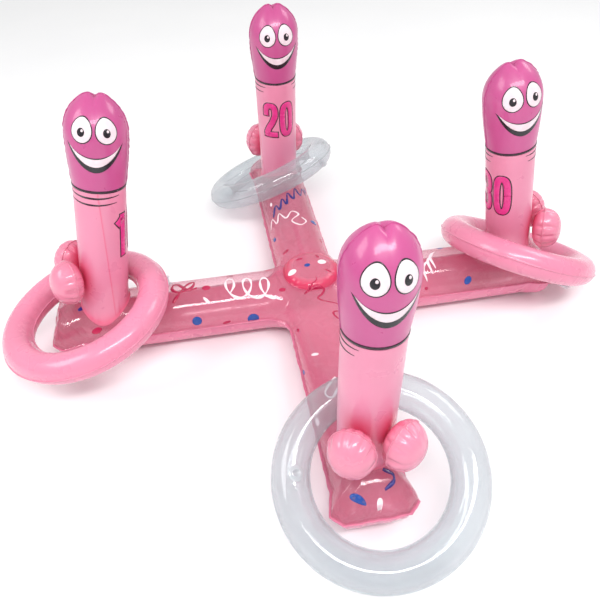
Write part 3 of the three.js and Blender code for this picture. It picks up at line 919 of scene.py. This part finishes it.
def streamer(points, width):
    """A paper streamer of even width."""
    path = smooth_path(points)
    return ribbon(path, [width * (0.8 + 0.3 * math.sin(index * 0.35)) for index in range(len(path))])


def ellipse(x, y, half_width, half_height, turn=0.0, points=40):
    spin = math.radians(turn)
    loop = []
    for index in range(points):
        angle = 2 * math.pi * index / points
        across, up = half_width * math.cos(angle), half_height * math.sin(angle)
        loop.append((x + across * math.cos(spin) - up * math.sin(spin), y + across * math.sin(spin) + up * math.cos(spin)))
    return loop


def lay(name, layers, stick, body):
    """Lays flat layers on a skin. Each layer is a flat mesh, a material and how many films it lies above."""
    joined = bmesh.new()
    materials = []
    for flat, material, level in layers:
        if material not in materials:
            materials.append(material)
        placed = {}
        for vertex in flat.verts:
            point, normal = stick(vertex.co.x, vertex.co.y)
            if point is not None:
                placed[vertex] = (point + normal * LIFT * (1 + 0.8 * level), normal)
        made = {vertex: joined.verts.new(point) for vertex, (point, _) in placed.items()}
        for face in flat.faces:
            if all(vertex in made for vertex in face.verts):
                facing = sum((placed[vertex][1] for vertex in face.verts), Vector())
                film = joined.faces.new([made[vertex] for vertex in face.verts])
                film.material_index = materials.index(material)
                film.normal_update()
                if film.normal.dot(facing) < 0:
                    film.normal_flip()
        flat.free()
    mesh = bpy.data.meshes.new(name)
    joined.to_mesh(mesh)
    joined.free()
    for material in materials:
        mesh.materials.append(MATERIALS[material])
    mesh.shade_smooth()
    obj = bpy.data.objects.new(name, mesh)
    bpy.context.scene.collection.objects.link(obj)
    film = obj.modifiers.new("thickness", "SOLIDIFY")
    film.thickness = 0.08 * MM
    film.offset = -1
    return place_piece(obj, body, None)


def on_post(post, around, radius):
    """Sticks (arc length from an angle, height up the axis) to a post's skin of some radius."""
    frame_of_post, tree = post["frame"], post["skin"]

    def stick(x, y):
        angle = math.radians(around) + x / radius
        outside = frame_of_post @ round_post(HEAD_RADIUS * 1.8, angle, y)
        axis = frame_of_post @ Vector((0, 0, y))
        point, normal, _, _ = tree.ray_cast(outside, (axis - outside).normalized())
        return point, normal
    return stick


def on_arm(tree, turn):
    """Sticks (distance from the cross's middle, arc length round the arm) to an arm's skin."""
    spin = Matrix.Rotation(math.radians(turn), 4, "Z")

    def stick(x, y):
        angle = y / ARM_RADIUS
        axis = spin @ Vector((x, 0, ARM_RADIUS))
        aside = spin @ Vector((0, math.sin(angle), math.cos(angle)))
        start = 2 * ARM_RADIUS
        point, normal, _, travelled = tree.ray_cast(axis + aside * start, -aside, start - ARM_RADIUS * 0.15)
        return point, normal
    return stick


def from_above(tree):
    def stick(x, y):
        point, normal, _, _ = tree.ray_cast(Vector((x, y, ARM_TOP + 0.05)), Vector((0, 0, -1)))
        return point, normal
    return stick


def bow(half_width, centre, half_height, start, end, steps=28):
    """Points along a squarish arc, from one angle in degrees to another."""
    points = []
    for step in range(steps + 1):
        angle = math.radians(lerp(start, end, step / steps))
        across, up = math.cos(angle), math.sin(angle)
        points.append((half_width * math.copysign(abs(across) ** 0.62, across),
                       centre + half_height * math.copysign(abs(up) ** 0.8, up)))
    return points


def digit_strokes(digit):
    """The middle lines of a tall condensed digit, in mm about its own middle."""
    top, low, half = 27.0, -27.0, 8.0
    if digit == "0":
        return [bow(half, 0, top, 0, 364, 56)]
    if digit == "1":
        return [[(-7, 17), (-3, 20), (2.5, 26)], [(3, top + 4), (3, low - 4)]]
    if digit == "2":
        return [bow(half, 13, top - 13, 195, -8) + [(7, 6), (3, -4), (-3, -14), (-7, low + 4), (-8, low)],
                [(-12, low), (12, low)]]
    if digit == "3":
        return [bow(half, 13.5, top - 13.5, 190, -80), bow(half, -13.5, top - 13.5, 80, -190)]
    return [[(3, top), (-4, 6), (-9, -10)], [(-12, -11), (12, -11)], [(4, top + 4), (4, low - 4)]]


def number_print(name, post):
    """The post's number: magenta digits with a dark outline."""
    layers = []
    for extra, material, level in ((3.2, "plum_ink", 0), (0.0, "magenta_ink", 1)):
        for place, digit in zip((-14.5, 14.5), post["number"]):
            for line in digit_strokes(digit):
                ends = [Vector(point) for point in line]
                ends[0] += (ends[0] - ends[1]).normalized() * extra / 2
                ends[-1] += (ends[-1] - ends[-2]).normalized() * extra / 2
                path = [((x + place) * MM, y * MM + NUMBER_HEIGHT) for x, y in ends]
                flat = ribbon(path, [(9.6 + extra) * MM] * len(path))
                layers.append((sliced(flat, 4 * MM), material, level))
    return lay(name + "_number_print", layers, on_post(post, post["number_angle"], COLLAR_RADIUS), BASE_BODY)


NUMBER_HEIGHT = 114 * MM
EYE_HEIGHT = POST_HEIGHT - 34 * MM
SMILE_HEIGHT = COLLAR_HEIGHT + 52 * MM


def face_print(name, post, side):
    """A plain cartoon smile: two equal round eyes and a wide crescent mouth with one band of teeth."""
    layers = []
    for sign in (-1, 1):
        x = sign * 15.5 * MM
        layers.append((flat_mesh([ellipse(x, EYE_HEIGHT, 14.2 * MM, 15.2 * MM)], 3 * MM), "dark_ink", 0))
        layers.append((flat_mesh([ellipse(x, EYE_HEIGHT, 12.9 * MM, 13.9 * MM)], 3 * MM), "white_ink", 1))
        layers.append((flat_mesh([ellipse(x, EYE_HEIGHT - 2 * MM, 4.6 * MM, 5 * MM)], 3 * MM), "dark_ink", 2))
        layers.append((flat_mesh([ellipse(x + 1.5 * MM, EYE_HEIGHT, 1.5 * MM, 1.5 * MM)], 3 * MM), "white_ink", 3))

    def arc(half_width, drop, level):
        return [(half_width * share, level + drop * (share * share - 1)) for share in np.linspace(-1, 1, 33)]

    top = arc(37 * MM, 15 * MM, SMILE_HEIGHT + 9 * MM)
    bottom = arc(37 * MM, 34 * MM, SMILE_HEIGHT + 9 * MM)
    layers.append((flat_mesh([top + bottom[::-1]], 3 * MM), "dark_ink", 0))
    teeth_top = arc(33 * MM, 14.3 * MM, SMILE_HEIGHT + 6.8 * MM)
    teeth_bottom = arc(30 * MM, 20.5 * MM, SMILE_HEIGHT + 3 * MM)
    layers.append((flat_mesh([teeth_top + teeth_bottom[::-1]], 3 * MM), "white_ink", 1))
    around = 0 if side < 0 else 180
    word = "front" if side < 0 else "back"
    return lay(f"{name}_face_{word}_print", layers, on_post(post, around, HEAD_RADIUS), BASE_BODY)


STROKES = {
    "left_post": (-15, 165),
    "right_post": (-132, 76),
    "back_post": (-102, 107),
    "front_post": (-106, 142),
}


def neck_strokes(name, post):
    """Pairs of thin curved strokes under the collar."""
    layers = []
    for around in STROKES[name]:
        for drop, half_width, width in ((7, 37, 2.6), (16, 33, 2.4)):
            centre = math.radians(around) * COLLAR_RADIUS
            points = [
                (centre + share * half_width * MM, COLLAR_HEIGHT - (drop + 1.6 * (1 - share * share)) * MM)
                for share in np.linspace(-1, 1, 9)
            ]
            layers.append((brush(points, width * MM), "plum_ink", 0))
    return lay(name + "_neck_print", layers, on_post(post, 0, COLLAR_RADIUS), BASE_BODY)


for name, post in posts.items():
    number_print(name, post)
    face_print(name, post, -1)
    face_print(name, post, 1)
    neck_strokes(name, post)


def confetti():
    """Streamers, dots and dashes printed on the clear film, arm by arm, in mm along and round each arm."""
    base_tree = tree_of(base_top)

    def scaled(points):
        return [(x * MM, y * MM) for x, y in points]

    def dots(rows):
        return [(flat_mesh([ellipse(x * MM, y * MM, a * MM, b * MM, turn)], 4 * MM), material, 0)
                for x, y, a, b, turn, material in rows]

    def coils(start, pitch, count, height, lean):
        """A curled streamer that loops along its way."""
        points = []
        for step in range(count * 8):
            angle = 2 * math.pi * step / 8
            points.append((
                start[0] + pitch * step / 8 + height * 0.35 * math.sin(angle),
                start[1] + lean * step / 8 + height * 0.5 * math.cos(angle),
            ))
        return scaled(points)

    left = dots([
        (176, 55, 7, 7, 0, "blue_ink"), (95, 64, 8.5, 8.5, 0, "blue_ink"), (134, 64, 6, 2.2, 10, "crimson_ink"),
        (159, 26, 6, 2.2, -50, "chalk_ink"), (157, 6, 6, 4.5, 0, "crimson_ink"), (48, 26, 5, 3, 0, "crimson_ink"),
        (316, 49, 7.5, 4.6, 20, "crimson_ink"), (334, 14, 5, 3, 30, "violet_ink"), (62, -24, 5, 3, 0, "crimson_ink"),
        (250, -40, 5, 5, 0, "blue_ink"), (120, -44, 6, 4, 0, "crimson_ink"), (205, -52, 5, 2, 40, "chalk_ink"),
    ])
    left.append((streamer(coils((60, 20), 25, 3, 34, -4), 3.6 * MM), "chalk_ink", 0))
    left.append((streamer(scaled([(206, 24), (196, 10), (182, -8), (174, -10), (178, 2), (196, 8), (206, 0), (200, -12),
                                  (184, 6), (170, 4)]), 4.6 * MM), "crimson_ink", 0))
    lay("left_arm_confetti_print", left, on_arm(base_tree, 180), BASE_BODY)

    back = dots([
        (118, 47, 6, 3.6, 25, "blue_ink"), (140, -36, 9, 5, -60, "blue_ink"), (92, -40, 5, 3, 0, "crimson_ink"),
        (205, 34, 5, 2.6, 0, "chalk_ink"), (250, -46, 5, 5, 0, "blue_ink"), (66, 30, 6, 3.2, 90, "crimson_ink"),
    ])
    back.append((streamer(scaled([(168, 36), (192, 26), (176, 20), (202, 12), (184, 6), (216, 0), (198, -8), (232, -16),
                                  (214, -24), (242, -34), (228, -42)]), 4.2 * MM), "violet_ink", 0))
    back.append((streamer(scaled([(150, 50), (166, 40), (146, 32), (166, 24), (146, 14), (160, 2), (150, -8), (134, 6),
                                  (120, -6), (132, -18), (142, -12)]), 3.2 * MM), "chalk_ink", 0))
    lay("back_arm_confetti_print", back, on_arm(base_tree, 90), BASE_BODY)

    right = dots([
        (235, -49, 7, 5.4, 60, "blue_ink"), (169, -53, 2.6, 2.6, 0, "crimson_ink"), (138, -54, 8, 5, 0, "blue_ink"),
        (96, -30, 6, 3.2, 0, "crimson_ink"), (210, 24, 5, 5, 0, "blue_ink"), (110, 34, 6, 3, 0, "chalk_ink"),
        (262, 46, 6, 3, 20, "crimson_ink"),
    ])
    for start in ((196, 10), (190, 2), (180, -8)):
        right.append((brush(scaled([start, (start[0] - 12, start[1] - 13), (start[0] - 9, start[1] - 34)]), 4.6 * MM),
                      "chalk_ink", 0))
    lay("right_arm_confetti_print", right, on_arm(base_tree, 0), BASE_BODY)

    front = dots([
        (367, -27, 7.5, 4.6, 60, "blue_ink"), (162, -60, 5.4, 3.2, 30, "blue_ink"), (247, -56, 8, 4.6, 40, "chalk_ink"),
        (157, -28, 6.5, 2.2, 60, "chalk_ink"), (374, 4, 5, 6.5, 0, "chalk_ink"), (128, 44, 5, 3, 0, "crimson_ink"),
        (268, 40, 5, 5, 0, "blue_ink"), (96, -46, 4, 2.4, 30, "crimson_ink"),
    ])
    front.append((streamer(scaled([(344, 12), (350, 22), (358, 22), (364, 12)]), 4.6 * MM), "violet_ink", 0))
    front.append((streamer(scaled([(206, -10), (222, -28), (234, -20), (222, -8), (238, 0), (246, -14)]), 3.8 * MM),
                  "chalk_ink", 0))
    lay("front_arm_confetti_print", front, on_arm(base_tree, -90), BASE_BODY)

    middle_tree = tree_of(base_top, dome)
    middle = dots([
        (-6, 0, 4.6, 3.6, 20, "blue_ink"), (-30, -8, 6.5, 5, 15, "chalk_ink"), (17, 4, 6.5, 5.2, 0, "chalk_ink"),
        (-15, 17, 6, 1.8, 10, "crimson_ink"), (13, 19, 2, 4.5, 15, "crimson_ink"), (22, -16, 5.4, 1.6, -30, "crimson_ink"),
    ])
    middle.append((brush(scaled([(2, -26), (1, -32), (-8, -37), (-18, -44), (-6, -40), (10, -41), (6, -52), (-2, -60),
                                 (8, -68), (26, -70), (38, -78)]), 3.2 * MM), "crimson_ink", 0))
    middle.append((brush(scaled([(26, -84), (14, -90), (16, -100), (30, -110)]), 3.0 * MM), "crimson_ink", 0))
    lay("middle_confetti_print", middle, from_above(middle_tree), BASE_BODY)


confetti()


# ---- floor, lights and camera -------------------------------------------------------------------------------
def floor():
    """A pale floor, with a faint mottle so that it isn't one flat colour."""
    nodes = Nodes("floor_paper")
    tint = nodes.mix(nodes.noise(3.0), linear(250, 250, 250), linear(244, 244, 245))
    material = nodes.finish(nodes.principled(tint, 0.9).outputs[0])
    mesh = bpy.data.meshes.new("floor")
    half = 30.0
    mesh.from_pydata([(-half, -half, 0), (half, -half, 0), (half, half, 0), (-half, half, 0)], [], [(0, 1, 2, 3)])
    mesh.materials.append(material)
    obj = bpy.data.objects.new("floor", mesh)
    bpy.context.scene.collection.objects.link(obj)


def soft_light(name, place, target, width, height, power):
    lamp = bpy.data.lights.new(name, "AREA")
    lamp.shape = "RECTANGLE"
    lamp.size, lamp.size_y = width, height
    lamp.energy = power
    obj = bpy.data.objects.new(name, lamp)
    obj.location = place
    obj.rotation_euler = (Vector(target) - Vector(place)).to_track_quat("-Z", "Y").to_euler()
    bpy.context.scene.collection.objects.link(obj)


floor()
soft_light("front_softbox", (0.15, -1.05, 1.75), (0, 0, 0.1), 1.5, 0.28, 22)
soft_light("left_softbox", (-1.5, -0.3, 1.5), (0, 0, 0.1), 0.9, 0.9, 13)
soft_light("right_softbox", (1.6, 0.5, 1.7), (0, 0, 0.1), 0.8, 0.8, 9)

world = bpy.data.worlds.new("studio")
world.use_nodes = True
world.node_tree.nodes["Background"].inputs["Color"].default_value = (1.0, 1.0, 1.0, 1.0)
world.node_tree.nodes["Background"].inputs["Strength"].default_value = 0.72
bpy.context.scene.world = world
bpy.context.scene.view_settings.view_transform = "Standard"


def camera():
    """The photograph's view: from the front, a little to the left, looking down."""
    azimuth, elevation, roll = math.radians(-9.63), math.radians(42.68), math.radians(-1.15)
    forward = Vector((-math.sin(azimuth) * math.cos(elevation), math.cos(azimuth) * math.cos(elevation), -math.sin(elevation)))
    right = forward.cross(Vector((0, 0, 1))).normalized()
    up = right.cross(forward)
    across = right * math.cos(roll) + up * math.sin(roll)
    upward = up * math.cos(roll) - right * math.sin(roll)
    data = bpy.data.cameras.new("camera")
    data.sensor_width = 36
    data.lens = 37.3
    obj = bpy.data.objects.new("camera", data)
    turn = Matrix((across, upward, -forward)).transposed().to_4x4()
    obj.matrix_world = Matrix.Translation(Vector((-0.4396, -2.2517, 2.2061)) * POST_DISTANCE) @ turn
    bpy.context.scene.collection.objects.link(obj)
    bpy.context.scene.camera = obj


camera()
